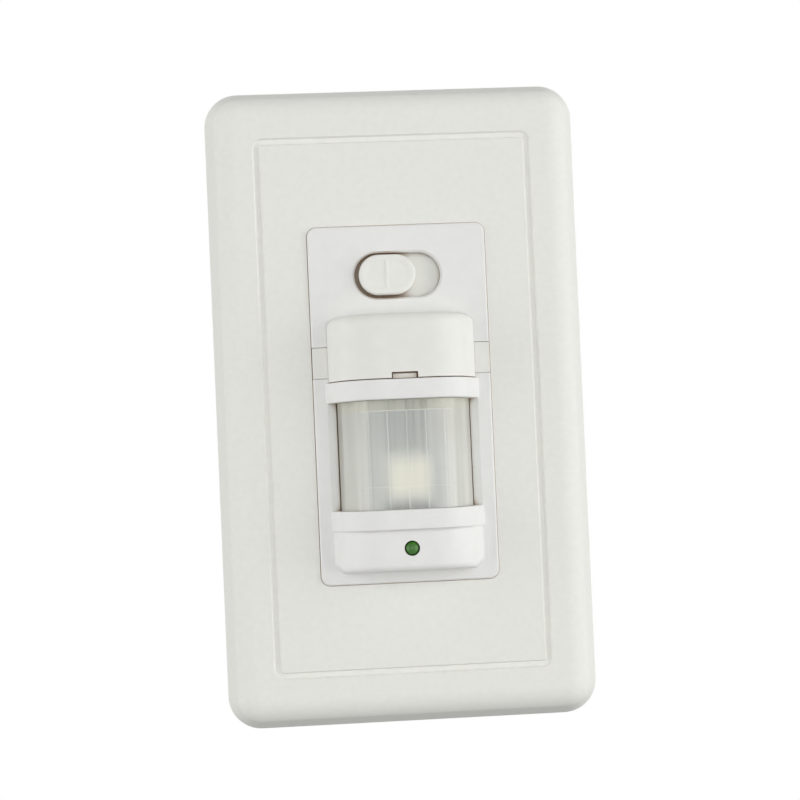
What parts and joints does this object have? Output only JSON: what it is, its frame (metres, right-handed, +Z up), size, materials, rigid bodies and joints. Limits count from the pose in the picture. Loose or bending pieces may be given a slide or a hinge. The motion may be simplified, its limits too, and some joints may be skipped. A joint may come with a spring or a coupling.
{
  "type": "motion sensor light switch",
  "caption": "Wall light switch with a faceted motion sensor window, indicator lamp, hinged cover over setting dials and a slide switch, in a screwless rectangular wall plate.",
  "frame": {"origin": "centre of the wall plate, in the plane of the wall, midway between the two box screws", "axes": "+X to the right and +Z up as seen by a person who faces the switch, +Y into the wall, so the front faces -Y"},
  "size_m": [0.07, 0.0462, 0.12],
  "materials": {
    "plate_white": "satin moulded",
    "carrier_white": "moulded",
    "bezel_white": "fine satin moulded",
    "cover_white": "fine satin moulded",
    "lens_frosted": "frosted translucent",
    "lamp_green": "clear dark green",
    "spacer_white": "moulded",
    "sensor_can": "plated can",
    "photocell_red": "coated",
    "dial_grey": "moulded",
    "trimmer_blue": "moulded",
    "part_black": "moulded",
    "board_white": "white solder mask",
    "board_brown": "bare laminate",
    "film_red": "dipped",
    "fuse_grey": "coated",
    "housing_grey": "moulded",
    "strap_steel": "galvanised",
    "zinc_steel": "zinc plated",
    "ground_green": "green plated"
  },
  "bodies": {
    "switch_body": {"wall_plate": "plate_white", "plate_carrier": "carrier_white", "carrier_screws": "zinc_steel", "mounting_strap": "strap_steel", "box_screws": "zinc_steel", "ground_screw": "ground_green", "sensor_bezel": "bezel_white", "fresnel_lens": "lens_frosted", "indicator_lamp": "lamp_green", "lamp_spacer": "spacer_white", "pir_sensor": "sensor_can", "sensor_holder": "spacer_white", "photocell": "photocell_red", "hinge_pin": "zinc_steel", "trimmer_bodies": "trimmer_blue", "slide_switch": "strap_steel", "control_board": "board_white", "board_header": "part_black", "power_board": "board_brown", "relay": "trimmer_blue", "film_capacitor": "film_red", "round_capacitors": "part_black", "varistor": "trimmer_blue", "fuse_resistor": "fuse_grey", "rear_housing": "housing_grey", "housing_screws": "zinc_steel"},
    "cover": {"adjust_cover": "cover_white"},
    "knob": {"switch_knob": "cover_white", "switch_slider": "part_black"},
    "time_adjuster": {"time_dial": "dial_grey"},
    "range_adjuster": {"range_dial": "dial_grey"},
    "light_adjuster": {"light_dial": "dial_grey"}
  },
  "joints": [
    {"name": "cover_hinge", "type": "hinge", "parent": "switch_body", "child": "cover", "pos_m": [0, -0.0049, 0.0175], "axis": [-1, 0, 0], "range_deg": [0, 45]},
    {"name": "knob_slide", "type": "slide", "parent": "switch_body", "child": "knob", "axis": [1, 0, 0], "range_m": [0, 0.004]},
    {"name": "time_turn", "type": "hinge", "parent": "switch_body", "child": "time_adjuster", "pos_m": [-0.0085, 0, 0.0092], "axis": [0, 1, 0], "range_deg": [-135, 135]},
    {"name": "range_turn", "type": "hinge", "parent": "switch_body", "child": "range_adjuster", "pos_m": [0, 0, 0.0092], "axis": [0, 1, 0], "range_deg": [-135, 135]},
    {"name": "light_turn", "type": "hinge", "parent": "switch_body", "child": "light_adjuster", "pos_m": [0.0085, 0, 0.0092], "axis": [0, 1, 0], "range_deg": [-135, 135]}
  ]
}
